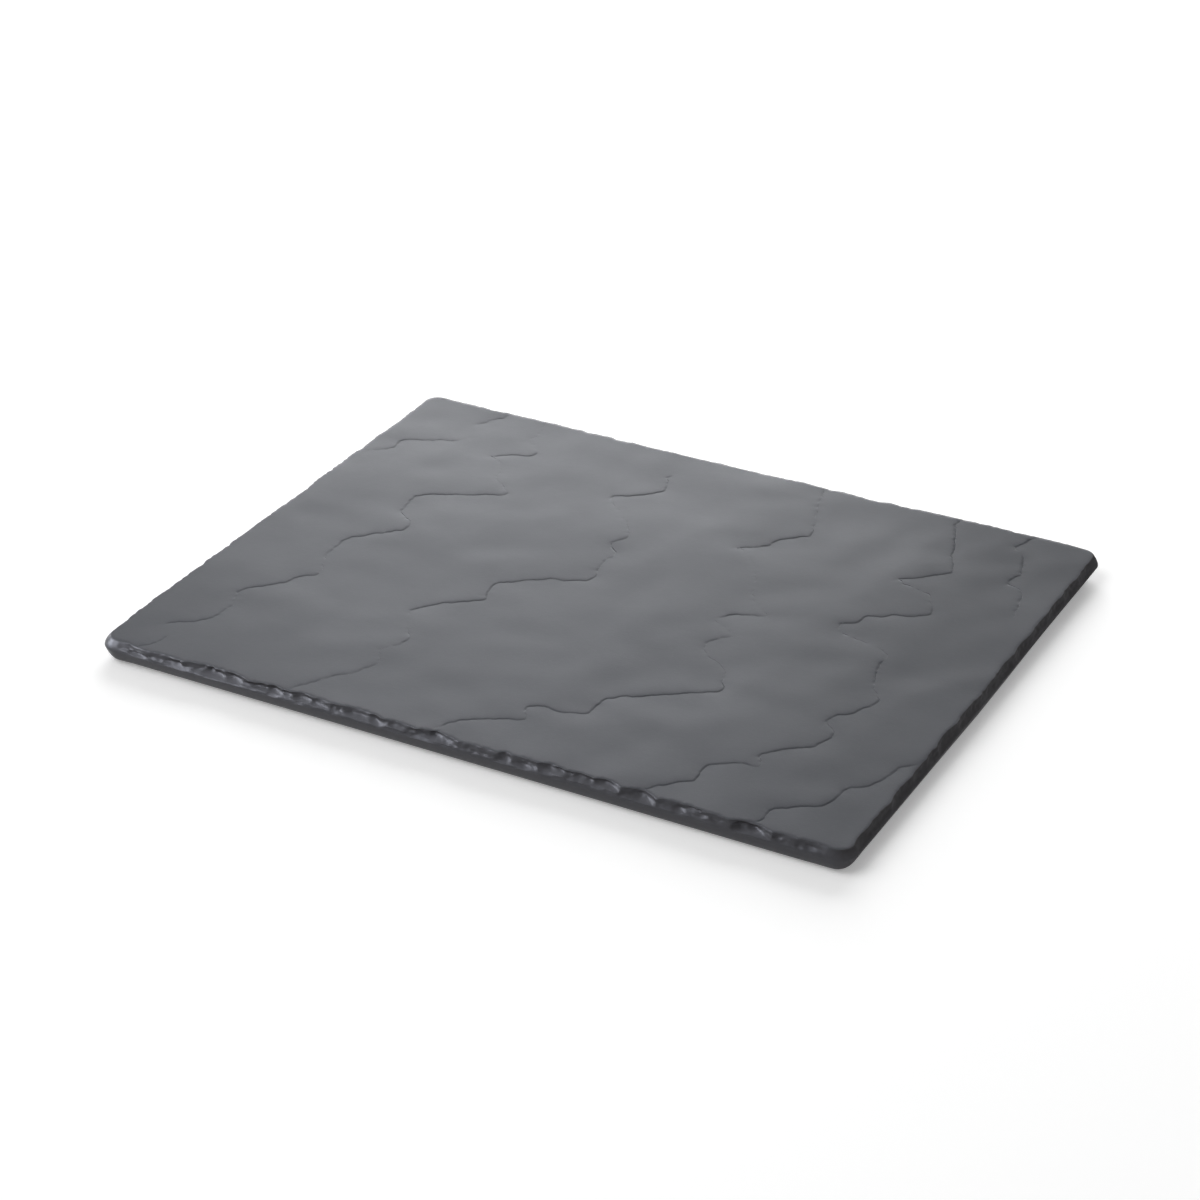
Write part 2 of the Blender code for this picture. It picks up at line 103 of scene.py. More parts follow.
# Clefts from the back to the front, in mm: place and share of the full depth.
# The lower plate lies on the left hand of someone who walks along the line.
clefts = {
    "back_corner": (
        (-104, 108, 0.5), (-108.5, 99.5, 0.6), (-111, 96.5, 0.5), (-111.5, 92, 0.0),
    ),
    "left_corner": (
        (-104, 87, 0.0), (-110.5, 80, 0.5), (-118.5, 76, 0.6), (-127, 72, 0.6), (-129.5, 70.5, 0.9),
        (-129, 63, 0.7), (-133, 58, 0.5), (-142, 54, 0.4),
    ),
    "left": (
        (-88, 112, 0.4), (-86, 97, 0.4), (-85, 90, 0.3), (-78, 86, 0.3), (-79, 82.5, 0.7),
        (-89, 76.5, 0.8), (-92, 73.5, 0.6), (-88, 71, 0.4), (-83, 65, 0.4), (-80, 57, 0.4),
        (-72, 50, 0.4), (-73, 47.5, 0.8), (-90, 39.5, 0.9), (-100, 32, 0.9), (-98.5, 18, 0.6),
        (-90.5, 12, 0.6), (-90.5, 6.5, 0.9), (-105, -8, 0.9), (-105, -23, 0.5), (-100, -33, 0.5),
        (-100, -37, 0.7), (-104.5, -40, 0.8), (-106, -47, 0.9), (-115, -56, 1.0), (-117, -61, 0.7),
        (-113.5, -68.5, 0.5), (-114, -79.5, 0.8), (-119, -85, 1.0), (-123, -87.5, 1.0), (-126, -90, 0.4),
    ),
    "left_front_corner": (
        (-119.5, -96.5, 0.3), (-120.5, -101.5, 0.8), (-124, -106.5, 0.8), (-128.5, -111.5, 0.4),
    ),
    "middle_left": (
        (-23, 98, 0.0), (-25.5, 90, 0.5), (-22.5, 85, 0.6), (-21.5, 79, 0.8), (-26.5, 72.5, 1.0),
        (-35.5, 66.5, 0.7), (-34, 62, 0.4), (-22, 50, 0.4), (-16, 40, 0.5), (-19, 33, 0.7),
        (-14, 26, 0.6), (-14.5, 15, 0.5), (-12, 8.5, 0.7), (-13.5, 4.5, 0.8), (-19.5, 1.5, 1.0),
        (-25, 0.5, 0.9), (-39, -10.5, 0.9), (-41, -15, 0.8), (-38, -23, 0.7), (-39, -25, 0.9),
        (-53.5, -37, 0.9), (-57.5, -43.5, 0.6), (-55, -49, 0.2), (-47.5, -59, 0.5), (-47, -64.5, 0.6),
        (-52, -71, 0.4), (-47, -79, 0.4), (-48, -83, 0.5), (-56.5, -95, 0.6), (-66.5, -111, 0.6),
    ),
    "middle_right": (
        (30, 112, 0.4), (33, 98.5, 0.5), (40.5, 76.5, 0.5), (42, 71.5, 0.8), (38, 69, 0.9), (33, 63, 0.8),
        (32, 58.5, 0.7), (22.5, 51, 0.8), (27, 49, 0.4), (38, 35.5, 0.4), (42, 22.5, 0.4), (53, 12, 0.4),
        (50, 10, 0.6), (42, 7, 0.8), (39, 0.5, 0.45), (49, -6, 0.3), (48, -7.5, 0.55), (44, -12.5, 0.7),
        (44, -20, 0.4), (57, -28.5, 0.4), (60.5, -37, 0.5), (61, -41, 0.8), (43.5, -53.5, 0.9),
        (38.5, -57.5, 1.0), (30, -63, 0.9), (30, -74, 0.8), (27, -76, 0.7), (20.5, -77.5, 0.9),
        (15.5, -76.5, 0.9), (10.5, -80, 0.8), (11, -84, 0.5), (13.5, -87, 0.7), (-1, -94.5, 0.9),
        (-8, -102, 0.7), (-10, -110, 0.3),
    ),
    "right": (
        (84, 112, 0.6), (85, 103.5, 0.6), (90, 90.5, 0.7), (92.5, 81.5, 0.7), (96.5, 72.5, 0.65),
        (98, 70, 0.8), (92.5, 65.5, 1.0), (83.5, 57, 0.9), (86, 54, 0.5), (96.5, 51, 0.5), (99, 46, 0.4),
        (102.5, 41.5, 0.6), (101.5, 37.5, 0.9), (89.5, 31, 0.9), (84, 26.5, 0.8), (83, 22, 0.9),
        (78, 19, 0.8), (80, 13.5, 0.5), (85, 11, 0.4), (97, 9, 0.4), (100.5, 4.5, 0.6), (101, -0.5, 0.7),
        (105.5, -15.5, 0.5), (109.5, -22, 0.6), (108.5, -27.5, 0.8), (106.5, -32, 0.9),
        (101.5, -37.5, 0.9), (100.5, -42.5, 0.6), (105.5, -47.5, 0.5), (106, -52.5, 0.8),
        (103.5, -58, 0.9), (97, -63.5, 1.0), (90.5, -70.5, 0.8), (93.5, -77, 0.5), (88, -78, 0.8),
        (78.5, -83.5, 0.9), (78.5, -94.5, 0.8), (70.5, -101.5, 1.0), (65.5, -107, 0.8), (64, -113, 0.6),
    ),
    "right_corner": (
        (116, 112.5, 0.8), (110, 98.5, 0.7), (113, 95, 0.2), (116, 91.5, 0.8), (118.5, 81, 0.9),
        (118, 72, 1.0), (124, 69.5, 0.5), (127, 57.5, 0.7), (128, 50, 0.3),
    ),
    "front_corner": (
        (142.5, -46.5, 0.6), (132, -57, 0.7), (129.5, -70, 0.7), (122.5, -76, 0.8), (121.5, -86, 0.8),
        (118.5, -90, 0.9), (107, -98, 0.9), (107, -104.5, 0.7), (104.5, -112.5, 0.6),
    ),
}


def wander(place, pitch, seed):
    """Smooth noise from -1 to 1 that changes over the given pitch."""
    return noise.noise(Vector((place[0] / pitch, place[1] / pitch, seed)))


def broken_line(points, seed):
    """A cleft in small even steps: rounded through its places, then jagged as a plate breaks."""
    rounding_passes, stiffness = 3, 40
    line = np.array(points, float) * (MM, MM, 1.0)
    for _ in range(rounding_passes):
        before = np.vstack((line[:1], line[:-2]))
        after = np.vstack((line[2:], line[-1:]))
        middles = (line[:-1] + line[1:]) * (0.5 + 1 / stiffness) - (before + after) / stiffness
        rounded = np.empty((len(line) * 2 - 1, 3))
        rounded[0::2] = line
        rounded[1::2] = middles
        line = rounded
    run = np.concatenate(((0.0,), np.hypot(*np.diff(line[:, :2], axis=0).T).cumsum()))
    steps = np.linspace(0.0, run[-1], max(round(run[-1] / cleft_step), 2))
    line = np.stack([np.interp(steps, run, column) for column in line.T], axis=1)
    heading = np.gradient(line[:, :2], axis=0)
    heading /= np.hypot(*heading.T)[:, None]
    lower_side = np.stack((-heading[:, 1], heading[:, 0]), axis=1)
    for index, along in enumerate(steps):
        wide_jag = 0.0010 * wander((along, 0.002), 0.0055, seed)
        fine_jag = 0.0006 * wander((along, 0.0007), 0.0019, seed + 9)
        line[index, :2] += lower_side[index] * (wide_jag + fine_jag)
        slow_change = 0.3 * wander((along, 0.0), 0.005, seed + 17)
        quick_change = 0.4 * wander((along, 0.0), 0.0017, seed + 23)
        line[index, 2] *= 1.0 + slow_change + quick_change
    line[:, 2] = line[:, 2].clip(0.0, 1.0)
    return line, lower_side


broken_lines = [broken_line(points, 3.1 * index) for index, points in enumerate(clefts.values())]


def sharpness(strength):
    """How sharply a cleft of some strength is cut: weak ones fade out."""
    weakest_cut, fade_span = 0.36, 0.28
    return (0.4 + 0.6 * strength) * ((strength - weakest_cut) / fade_span).clip(0.0, 1.0)


def cleft_relief(places):
    """Drop below the plates, and a crease mask along each cleft, at an array of places on the top. The mask
    darkens the colour there as painted shade in the groove, and raises the roughness.
    """
    coarse_stride, softening = 4, 1e-7
    near_reach, blend_width = 0.0015, 0.003
    lip_width, lip_shoulder = 0.0008, 0.0032
    crease_width = 0.0007
    drop = np.zeros(len(places))
    crease = np.zeros(len(places))
    for line, lower_side in broken_lines:
        finder = KDTree(len(line))
        for index, (x, y, _) in enumerate(line):
            finder.insert((x, y, 0.0), index)
        finder.balance()
        closest = np.array([finder.find((x, y, 0.0))[1] for x, y in places])
        exact = np.full(len(places), np.inf)
        near_strength = np.zeros(len(places))
        side = np.zeros(len(places))
        for first in (closest - 1, closest):
            first = first.clip(0, len(line) - 2)
            start, run = line[first], line[first + 1] - line[first]
            offset = places - start[:, :2]
            share = ((offset * run[:, :2]).sum(1) / (run[:, :2] ** 2).sum(1)).clip(0.0, 1.0)
            offset -= share[:, None] * run[:, :2]
            away = np.hypot(*offset.T)
            normal = lower_side[first] + share[:, None] * (lower_side[first + 1] - lower_side[first])
            nearer = away < exact
            exact = np.where(nearer, away, exact)
            side = np.where(nearer, (offset * normal).sum(1), side)
            near_strength = np.where(nearer, start[:, 2] + share * run[:, 2], near_strength)
        # Further off, the distance is smoothed over the whole line, so that no creases form
        coarse = line[::coarse_stride]
        weight = ((places[:, None] - coarse[None, :, :2]) ** 2).sum(2)
        weight = 1.0 / (weight + softening) ** 2
        total = weight.sum(1)
        far_strength = weight @ coarse[:, 2] / total
        far = (math.pi / 2 / (total * cleft_step * coarse_stride)) ** (1 / 3)
        blend = ((exact - near_reach) / blend_width).clip(0.0, 1.0)
        distance = exact + (far - exact) * blend
        strength = near_strength + (far_strength - near_strength) * blend
        beyond = (distance - cleft_face).clip(0.0)
        rise = 0.75 * np.exp(-beyond / cleft_rise) + 0.25 * np.exp(-beyond / (4 * cleft_rise))
        lip = 0.3 * np.exp(-distance / lip_width) + 0.7 * np.exp(-distance / lip_shoulder)
        drop += strength * np.where(side > 0, cleft_roll * rise, cleft_roll * lip)
        # The crease mask along the foot of each cleft face, where shade is painted into the colour
        from_face = (exact - np.where(side > 0, cleft_face / 2, -cleft_face / 2)) / crease_width
        crease += sharpness(near_strength) * np.exp(-from_face ** 2)
    return drop, crease.clip(0.0, 1.0)


def inside_depth(places):
    """How far places lie inside the widest line, seen from above."""
    over = np.abs(places) - (half_length - corner_radius, half_width - corner_radius)
    outside = np.hypot(*over.clip(0.0).T)
    return corner_radius - outside - over.max(1).clip(None, 0.0)


def top_surface(places):
    """Relief of the riven top, and the crease mask that paints shade along each cleft, at an array of
    places.
    """
    rim_roll, rim_roll_width = 0.00003, 0.005
    bulge, bulge_turn, tilt = 0.00008, 66, 0.0022
    back_lift, lift_start, lift_width = 0.00018, 0.075, 0.035
    x, y = places.T
    roll = (1.0 - inside_depth(places) / rim_roll_width).clip(0.0)
    swell = bulge * np.sin(x * bulge_turn) * np.cos(y * bulge_turn) + tilt * y
    # Long waves: height, length, heading, phase
    for height, length, angle, phase in (
        (0.00009, 0.1496, 1.607, -0.27), (0.00003, 0.0672, 2.378, 0.0), (0.000045, 0.0718, 3.104, 3.15),
    ):
        swell += height * np.sin(places @ (math.cos(angle), math.sin(angle)) * 2 * math.pi / length + phase)
    drop, crease = cleft_relief(places)
    ripple = np.array([
        0.00018 * wander(place, 0.034, 5.5) + 0.00013 * wander(place, 0.014, 8.5) for place in places
    ])
    lift = back_lift * ((y - lift_start) / lift_width).clip(0.0) ** 2
    return swell + ripple + lift - rim_roll * roll ** 2 - drop, crease


def wall_stations():
    """Places round the widest line: point, outward normal, place along the side, name of the side."""
    spacing, corner_steps = 0.0006, 14
    stations = []
    straight = Vector((half_length - corner_radius, half_width - corner_radius))
    sides = (
        ("front", Vector((0, -1)), Vector((1, 0))), ("right", Vector((1, 0)), Vector((0, 1))),
        ("back", Vector((0, 1)), Vector((-1, 0))), ("left", Vector((-1, 0)), Vector((0, -1))),
    )
    for side, normal, heading in sides:
        run = abs(heading.dot(straight))
        distance = abs(normal.dot(straight)) + corner_radius
        count = round(2 * run / spacing)
        for index in range(count):
            point = normal * distance + heading * run * (2 * index / count - 1)
            stations.append((point, normal, point.x if heading.x else point.y, side))
        corner = normal * (distance - corner_radius) + heading * run
        for index in range(corner_steps):
            angle = math.pi / 2 * index / corner_steps
            outward = normal * math.cos(angle) + heading * math.sin(angle)
            stations.append((corner + outward * corner_radius, outward, 0.0, "corner"))
    return stations


stations = wall_stations()
station_points = np.array([station[0] for station in stations])
station_normals = np.array([station[1] for station in stations])
to_right, to_back = station_normals.clip(0.0).T
to_left, to_front = (-station_normals).clip(0.0).T

# At the corners the edge is a plain rounded chamfer, and it is knapped from there on
knap_run = 0.010
corner_middle = (half_length - corner_radius, half_width - corner_radius)
to_corner = np.abs(np.abs(station_points) - corner_middle).min(1)
on_corner = np.array([side == "corner" for _, _, _, side in stations])
knapped = np.where(on_corner, 0.0, (to_corner / knap_run).clip(0.0, 1.0))
knapped = knapped ** 2 * (3.0 - 2.0 * knapped)

# The base edge isn't quite parallel to the rim. On the right it tucks in more towards the back,
# and on the front less towards the right
right_places = (-0.104, -0.080, -0.040, -0.005, 0.020, 0.040, 0.080, 0.104)
right_tucks = (0.0004, 0.0003, 0.0, -0.0004, 0.0, 0.0006, 0.0013, 0.0018)
right_tuck = np.interp(station_points[:, 1], right_places, right_tucks)
front_ease = 0.00035 + 0.0035 * station_points[:, 0]
uneven_tuck = right_tuck * to_right - front_ease * to_front + 0.0012 * (to_left * to_front)

# Three corners are rounded off more than the fourth: sides, extra chamfer, extra tuck
corner_reach = 0.009
corner_tip = np.array((half_length - 0.002, half_width - 0.002))
corner_chamfer = np.zeros(len(stations))
corner_tuck = np.zeros(len(stations))
for sides, chamfer, tuck in (((-1, -1), 0.0019, 0.0), ((1, 1), 0.0012, 0.0016), ((1, -1), 0.0003, 0.0008)):
    from_tip = station_points - corner_tip * sides
    near_corner = np.exp(-(from_tip ** 2).sum(1) / corner_reach ** 2)
    corner_chamfer += chamfer * near_corner
    corner_tuck += tuck * near_corner

# Small bites along the rim itself
nibble_pitch, nibble_depth, nibble_reach = 0.0028, 0.0006, 0.0014
nibbles = knapped * [max(wander(point, nibble_pitch, 40.5) - 0.1, 0.0) for point in station_points]

# Each chip is a scoop, and small random flakes lie in between: shares of their depth on each side
depth_shares = {"front": (1.0, 1.0), "right": (0.8, 0.15), "back": (0.38, 0.7), "left": (0.5, 0.6)}
plain_end = 0.012
flake_pitch = 0.0025
chip_random = random.Random(11)
scoops = {"corner": []}
flakes = {"corner": []}
for side, chips in chips_by_side.items():
    scoop_share, flake_share = depth_shares[side]
    scoops[side] = [
        (place * MM, depth * MM * scoop_share, half * MM, chip_reach * chip_random.uniform(0.6, 1.04))
        for place, depth, half in chips
    ]
    # A flake: place, depth, half width, depth of its middle, half height
    limit = (half_length if side in ("front", "back") else half_width) - plain_end
    flakes[side] = [
        (
            chip_random.uniform(-limit, limit), flake_share * chip_random.uniform(0.0003, 0.0012),
            chip_random.uniform(0.0016, 0.0055), chip_random.uniform(0.0004, 0.0026),
            chip_random.uniform(0.0009, 0.0020),
        )
        for _ in range(round(limit / flake_pitch))
    ]


def wall_inset(depth):
    """Set-back of the wall from its widest line at one depth below the top, at every station."""
    if depth >= widest_depth:
        down = (depth - widest_depth) / (slab_thickness - widest_depth)
        straight = tuck_straight - 0.0010 * (1.0 - knapped) + uneven_tuck + corner_tuck
        rounding = tuck_rounding + 0.0008 * (1.0 - knapped)
        return straight * down + rounding * (1.0 - (1.0 - down ** 3) ** 0.5)
    grit_depth, grit_pitch, grit_height = 0.0004, 0.0018, 0.0012
    share = depth / widest_depth
    set_back = top_set_back - 0.0010 * to_back - (0.0005 * to_front + 0.0004 * to_left)
    insets = set_back * (knapped * (1.0 - share ** 2.2) + (1.0 - knapped) * (1.0 - share) ** 2)
    insets += corner_chamfer * (1.0 - share) ** 1.5
    for index, (point, _, along, side) in enumerate(stations):
        scoop = 0.0
        for place, scoop_depth, half, reach in scoops[side]:
            span = 1.0 - ((along - place) / half) ** 2
            if span > 0.0 and depth < reach:
                scoop = max(scoop, scoop_depth * span * (1.0 - (depth / reach) ** 3.6))
        flake = 0.0
        for place, flake_depth, half, middle, half_height in flakes[side]:
            span = 1.0 - ((along - place) / half) ** 2 - ((depth - middle) / half_height) ** 2
            flake = max(flake, flake_depth * span)
        grit_place = Vector((point.x / grit_pitch, point.y / grit_pitch, depth / grit_height))
        grit = max(grit_depth * knapped[index] * noise.noise(grit_place), -grit_depth / 2)
        insets[index] += scoop + flake * (1.0 - share ** 6) + grit * (1.0 - share ** 4)
    return (insets + nibble_depth * nibbles * max(1.0 - depth / nibble_reach, 0.0)).clip(0.0)


# The top is stretched over the broken lines, because no operator cuts a mesh along a free line
rim_clearance = 0.0007
rim_inset = wall_inset(0.0) + rim_rounding
rim_places = station_points - station_normals * rim_inset[:, None]
rim_finder = KDTree(len(stations))
for index, (x, y) in enumerate(station_points):
    rim_finder.insert((x, y, 0.0), index)
rim_finder.balance()


def clear_of_rim(places):
    """Which places lie well inside the knapped rim."""
    nearest = [rim_finder.find((x, y, 0.0))[1] for x, y in places]
    return inside_depth(places) > rim_inset[nearest] + rim_clearance


top_places = [Vector(place) for place in rim_places]
top_edges = []
notches = {}
for line, lower_side in broken_lines:
    for away in (-cleft_guard, 0.0, cleft_bottom, cleft_face, cleft_face + cleft_guard):
        path = line[:, :2] + lower_side * away
        clear = clear_of_rim(path)
        previous = None
        for place, inside, depth in zip(path, clear, cleft_notch * sharpness(line[:, 2])):
            if not inside:
                previous = None
                continue
            if away == cleft_bottom:
                notches[len(top_places)] = depth
            top_places.append(Vector(place))
            if previous is not None:
                top_edges.append((previous, len(top_places) - 1))
            previous = len(top_places) - 1
fixed = KDTree(len(top_places))
for index, place in enumerate(top_places):
    fixed.insert((*place, 0.0), index)
fixed.balance()
# Close points near the clefts and the rim, and wider ones beyond
row_ratio = 0.87
for spacing, nearest_kept, furthest_kept in ((0.0009, 0.00055, 0.0028), (0.0018, 0.0028, 1.0)):
    columns = math.ceil(2 * half_length / spacing)
    rows = math.ceil(2 * half_width / (spacing * row_ratio))
    grid = np.array([
        ((column + 0.25 + 0.5 * (row % 2)) / columns * 2 - 1, (row + 0.5) / rows * 2 - 1)
        for row in range(rows) for column in range(columns)
    ]) * (half_length, half_width)
    for place in grid[clear_of_rim(grid)]:
        away = fixed.find((*place, 0.0))[2]
        if nearest_kept < away <= furthest_kept:
            top_places.append(Vector(place))
rim_loop = list(range(len(stations)))
inside_only, weld = 1, 1e-6
flat, _, faces, sources, _, _ = delaunay_2d_cdt(top_places, top_edges, [rim_loop], inside_only, weld)
flat = np.array(flat)
relief, crease = top_surface(flat)
headroom = 0.00002
heights = relief + (top_z - headroom - relief.max())
for index, found in enumerate(sources):
    heights[index] -= max((notches.get(source, 0.0) for source in found), default=0.0)

slab_mesh = bpy.data.meshes.new("platter_slab_riven")
slab_mesh.from_pydata(np.column_stack((flat, heights)).tolist(), [], [list(face) for face in faces])
station_of = np.full(len(flat), -1)
for index, found in enumerate(sources):
    for source in found:
        if source < len(stations):
            station_of[index] = source
slab_mesh.attributes.new("station", "INT", "POINT").data.foreach_set("value", station_of)
slab_mesh.attributes.new("crease", "FLOAT", "POINT").data.foreach_set("value", crease)
for name in ("wear", "broken", "wall"):
    slab_mesh.attributes.new(name, "FLOAT", "POINT")
slab = bpy.data.objects.new("platter_slab_riven", slab_mesh)
bpy.context.collection.objects.link(slab)


def edit(piece):
    """Open one piece in edit mode, with nothing selected."""
    bpy.ops.object.select_all(action="DESELECT")
    piece.select_set(True)
    bpy.context.view_layer.objects.active = piece
    bpy.ops.object.mode_set(mode="EDIT")
    bpy.ops.mesh.select_mode(type="EDGE")
    bpy.ops.mesh.select_all(action="DESELECT")
    return bmesh.from_edit_mesh(piece.data)


# The wall is drawn down from the rim, ring by ring, and a flat ring inside the base edge ends it.
# It is most matt on the right
worn_depth, worn_share = 0.0003, 0.6
broken_depth = 0.0008
base_ring_width = 0.0006
matt = 1.0 - 0.75 * to_front - 0.6 * to_left - 0.6 * (to_back - to_right).clip(0.0)
matt = (matt - 0.6 * to_left * to_front).clip(0.0, 1.0)
shape = edit(slab)
rim_height = np.zeros(len(stations))
station_layer = shape.verts.layers.int["station"]
for vert in shape.verts:
    if vert[station_layer] >= 0:
        rim_height[vert[station_layer]] = vert.co.z
for edge in shape.edges:
    edge.select_set(edge.is_boundary)
# Three rings round off the rim, fourteen run down to the widest line and twelve to the base
tuck_shares = np.sin(math.pi / 2 * np.linspace(0.0, 1.0, 13)[1:])
wall_depths = (
    0.00006, 0.00016, rim_rounding, *np.linspace(0.0006, widest_depth, 14),
    *(widest_depth + (slab_thickness - widest_depth) * tuck_shares),
)
for depth, base_ring in [(depth, 0.0) for depth in wall_depths] + [(slab_thickness, base_ring_width)]:
    bpy.ops.mesh.extrude_region()
    shape = bmesh.from_edit_mesh(slab.data)
    station_layer = shape.verts.layers.int["station"]
    wear_layer, crease_layer, broken_layer, wall_layer = (
        shape.verts.layers.float[name] for name in ("wear", "crease", "broken", "wall")
    )
    inset = wall_inset(depth) + base_ring
    plain = np.percentile(inset, 5)
    if depth < rim_rounding:
        inset += rim_rounding * (1.0 - math.sqrt(1.0 - (1.0 - depth / rim_rounding) ** 2))
    broken = ((inset - plain) / broken_depth).clip(0.0, 1.0) * (depth < widest_depth)
    ring = station_points - station_normals * inset[:, None]
    for vert in shape.verts:
        if vert.select:
            index = vert[station_layer]
            drop = depth / slab_thickness * (rim_height[index] - base_z)
            vert.co = (*ring[index], rim_height[index] - drop)
            vert[wear_layer] = worn_share if depth < worn_depth else 0.0
            vert[crease_layer] = 0.0
            vert[broken_layer] = broken[index]
            vert[wall_layer] = 0.0 if base_ring else matt[index]
    bmesh.update_edit_mesh(slab.data)

# The base is filled round four open rings, and each ring is sunk to its seat
seat_radius = 0.0073
seat_depth = 0.0018
seat_sides = 64
foot_places = {}
for node in sorted(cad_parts):
    if node.startswith("foot_") and not node.startswith("foot_tape"):
        low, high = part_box(node)
        foot_places[node] = (low + high) / 2
for place in foot_places.values():
    bpy.ops.mesh.primitive_circle_add(
        vertices=seat_sides, radius=seat_radius, location=(place.x, place.y, base_z),
    )
shape = bmesh.from_edit_mesh(slab.data)
bpy.ops.mesh.select_all(action="DESELECT")
for edge in shape.edges:
    edge.select_set(len(edge.link_faces) < 2)
bpy.ops.mesh.fill(use_beauty=True)
for place in foot_places.values():
    bpy.ops.mesh.select_all(action="DESELECT")
    shape = bmesh.from_edit_mesh(slab.data)
    for edge in shape.edges:
        away = [math.hypot(vert.co.x - place.x, vert.co.y - place.y) for vert in edge.verts]
        edge.select_set(len(edge.link_faces) < 2 and max(away) < seat_radius * 1.01)
    bpy.ops.mesh.extrude_region_move(TRANSFORM_OT_translate={"value": (0, 0, seat_depth)})
    bpy.ops.mesh.edge_face_add()
bpy.ops.mesh.select_all(action="SELECT")
bpy.ops.mesh.normals_make_consistent(inside=False)
bpy.ops.mesh.select_all(action="DESELECT")
# The notches stay sharp, because smooth shading would turn their dark walls pale
notch_angle = math.radians(6)
shape = bmesh.from_edit_mesh(slab.data)
station_layer = shape.verts.layers.int["station"]
for edge in shape.edges:
    on_top = all(vert[station_layer] < 0 for vert in edge.verts)
    edge.select_set(on_top and edge.calc_face_angle() > notch_angle)
bpy.ops.mesh.mark_sharp()
bpy.ops.object.mode_set(mode="OBJECT")
bpy.ops.object.shade_smooth_by_angle(angle=math.radians(30))


class Wire:
    """One output of a shader node, so that sums are written as plain arithmetic."""

    def __init__(self, tree, socket):
        self.tree = tree
        self.socket = socket

    def node(self, kind, settings, inputs, output=0):
        """Any other node: its type, its settings, then the values or links of its sockets."""
        made = self.tree.nodes.new(kind)
        for name, value in settings.items():
            setattr(made, name, value)
        for name, value in inputs.items():
            if isinstance(value, Wire):
                self.tree.links.new(value.socket, made.inputs[name])
            else:
                made.inputs[name].default_value = value
        return Wire(self.tree, made.outputs[output])

    def maths(self, operation, first, second):
        """A Math node of two values."""
        return self.node("ShaderNodeMath", {"operation": operation}, {0: first, 1: second})

    def __add__(self, other):
        return self.maths("ADD", self, other)

    def __radd__(self, other):
        return self.maths("ADD", other, self)

    def __sub__(self, other):
        return self.maths("SUBTRACT", self, other)

    def __rsub__(self, other):
        return self.maths("SUBTRACT", other, self)

    def __mul__(self, other):
        return self.maths("MULTIPLY", self, other)

    def __rmul__(self, other):
        return self.maths("MULTIPLY", other, self)

    def to(self, name):
        """Feed a socket of the material's shader."""
        self.tree.links.new(self.socket, self.tree.nodes["Principled BSDF"].inputs[name])


def new_material(name):
    """A new material with its shader, and a wire that carries Object coordinates."""
    material = bpy.data.materials.new(name)
    material.use_nodes = True
    tree = material.node_tree
    start = tree.nodes.new("ShaderNodeTexCoord")
    return material, tree.nodes["Principled BSDF"], Wire(tree, start.outputs["Object"])


def grain(at, scale, detail, rough=0.55):
    """Noise from 0 to 1 on Object coordinates."""
    return at.node(
        "ShaderNodeTexNoise", {"noise_dimensions": "3D"},
        {"Vector": at, "Scale": scale, "Detail": detail, "Roughness": rough},
    )


def mixed(share, first, second):
    """A colour between two colours. The node's colour sockets go by number, as they share names."""
    return share.node(
        "ShaderNodeMix", {"data_type": "RGBA", "clamp_factor": True}, {0: share, 6: first, 7: second}, 2,
    )


slate, slate_shader, at = new_material("satin_slate_ceramic")
slate_shader.inputs["Specular Tint"].default_value = (0.90, 0.945, 1.12, 1.0)
wear_wire, crease_shade_wire, broken_wire, wall_wire = (
    at.node("ShaderNodeAttribute", {"attribute_name": name}, {}, "Fac")
    for name in ("wear", "crease", "broken", "wall")
)
cloud = grain(at, 24, 3)
patch = grain(at, 110, 3)
mottle = grain(at, 260, 4, 0.6)
fine = grain(at, 1500, 3, 0.65)
speck = at.node("ShaderNodeTexVoronoi", {"feature": "F1"}, {"Vector": at, "Scale": 900.0})
speck_mask = speck.node(
    "ShaderNodeMapRange", {"clamp": True},
    {"Value": speck, "From Min": 0.08, "From Max": 0.2, "To Min": 1.0, "To Max": 0.0},
)
tone = 0.45 * cloud + 0.35 * mottle + 0.35 * fine - 0.08
body = mixed(tone, (0.028, 0.0294, 0.0330, 1.0), (0.043, 0.0452, 0.0508, 1.0))
body = mixed(speck_mask * 0.35, body, (0.060, 0.062, 0.068, 1.0))
body = mixed(wear_wire * 0.1, body, (0.080, 0.082, 0.088, 1.0))
# Painted shade: the colour is darkened along each cleft's crease, where shade falls in the groove
body = mixed(crease_shade_wire * 0.1, body, (0.018, 0.019, 0.021, 1.0))
wall_body = mixed(tone, (0.031, 0.0285, 0.0285, 1.0), (0.050, 0.046, 0.045, 1.0))
mixed(wall_wire * 3.0, body, wall_body).to("Base Color")
satin = 0.31 + 0.07 * patch + 0.05 * mottle + 0.03 * fine
(satin + 0.025 * crease_shade_wire + 0.4 * wall_wire).to("Roughness")
tooth = 0.6 * mottle + 0.4 * fine + 1.2 * broken_wire * grain(at, 420, 3)
tooth.node("ShaderNodeBump", {}, {"Strength": 0.35, "Distance": 0.00012, "Height": tooth}).to("Normal")
slab.data.materials.append(slate)
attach(slab, "root")
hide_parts("platter_slab")

